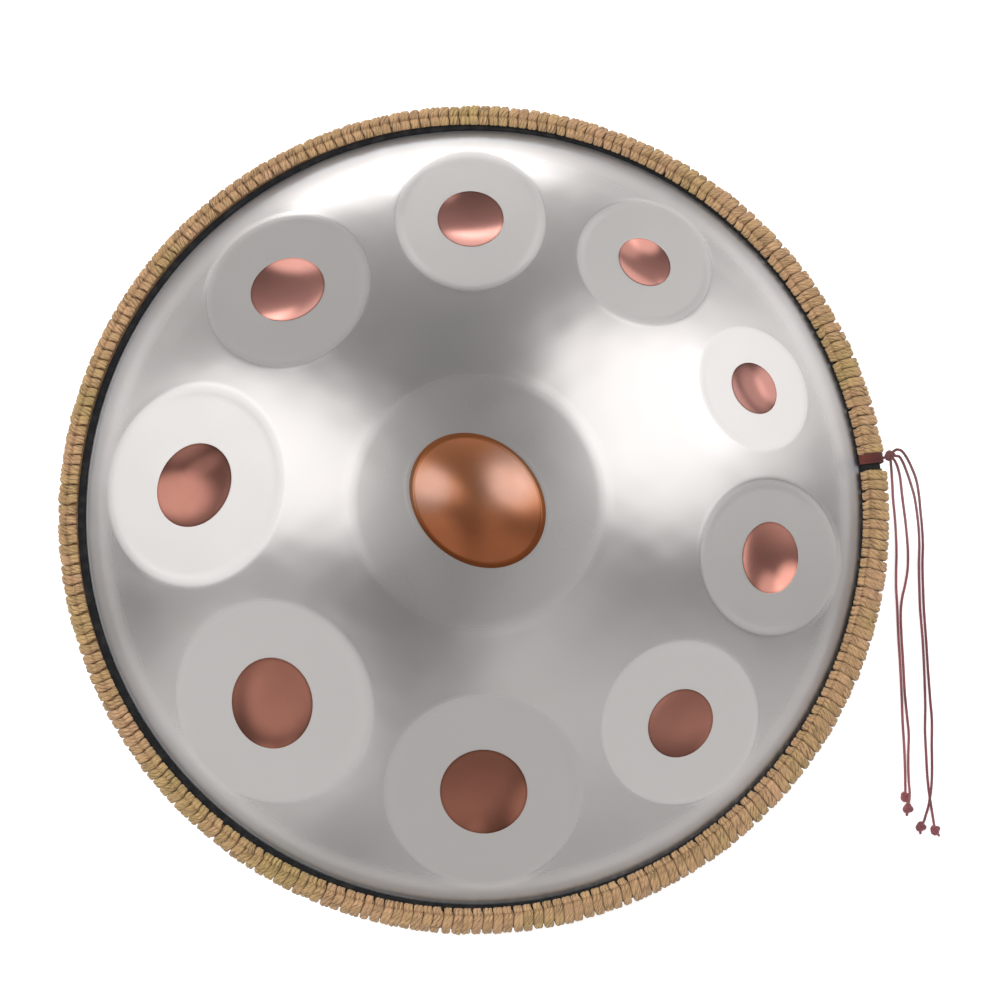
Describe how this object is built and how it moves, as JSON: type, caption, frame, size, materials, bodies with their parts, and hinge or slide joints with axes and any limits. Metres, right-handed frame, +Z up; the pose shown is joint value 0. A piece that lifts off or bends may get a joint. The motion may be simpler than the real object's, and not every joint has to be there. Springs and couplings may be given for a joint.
{
  "type": "handpan",
  "caption": "Handpan: two glued steel domes with dimpled tone fields, copper-coloured domes, a rope-bound rim, knotted tail cords and a port underneath.",
  "frame": {"origin": "centre of the flat ring around the port, on the plane that the pan rests on", "axes": "+Z up the pan's axis through the ding; -Y towards the lowest note; the tail cords leave the rim near +X"},
  "size_m": [0.6269, 0.5706, 0.2242],
  "materials": {
    "steel": "satin stainless sheet",
    "copper": "satin copper",
    "glue": "clear epoxy bead",
    "trim_rubber": "matt black edge trim",
    "rope": "tan fibre twine, hitched",
    "cord": "waxed maroon cord"
  },
  "bodies": {
    "root": {"top_shell": "steel", "bottom_shell": "steel", "ding_dome": "copper", "dimple_1_low": "copper", "dimple_2_lower_left": "copper", "dimple_3_lower_right": "copper", "dimple_4_left": "copper", "dimple_5_right": "copper", "dimple_6_upper_left": "copper", "dimple_7_upper_right": "copper", "dimple_8_top": "copper", "dimple_9_top_right": "copper", "rim_glue": "glue", "edge_trim": "trim_rubber", "rope_wrap": "rope", "cord_binding": "cord", "binding_knot": "cord", "cord_inner_left": "cord", "cord_inner_right": "cord", "cord_outer_left": "cord", "cord_outer_right": "cord", "cord_inner_left_knot": "cord", "cord_inner_right_knot": "cord", "cord_outer_left_knot": "cord", "cord_outer_right_knot": "cord"}
  },
  "joints": []
}
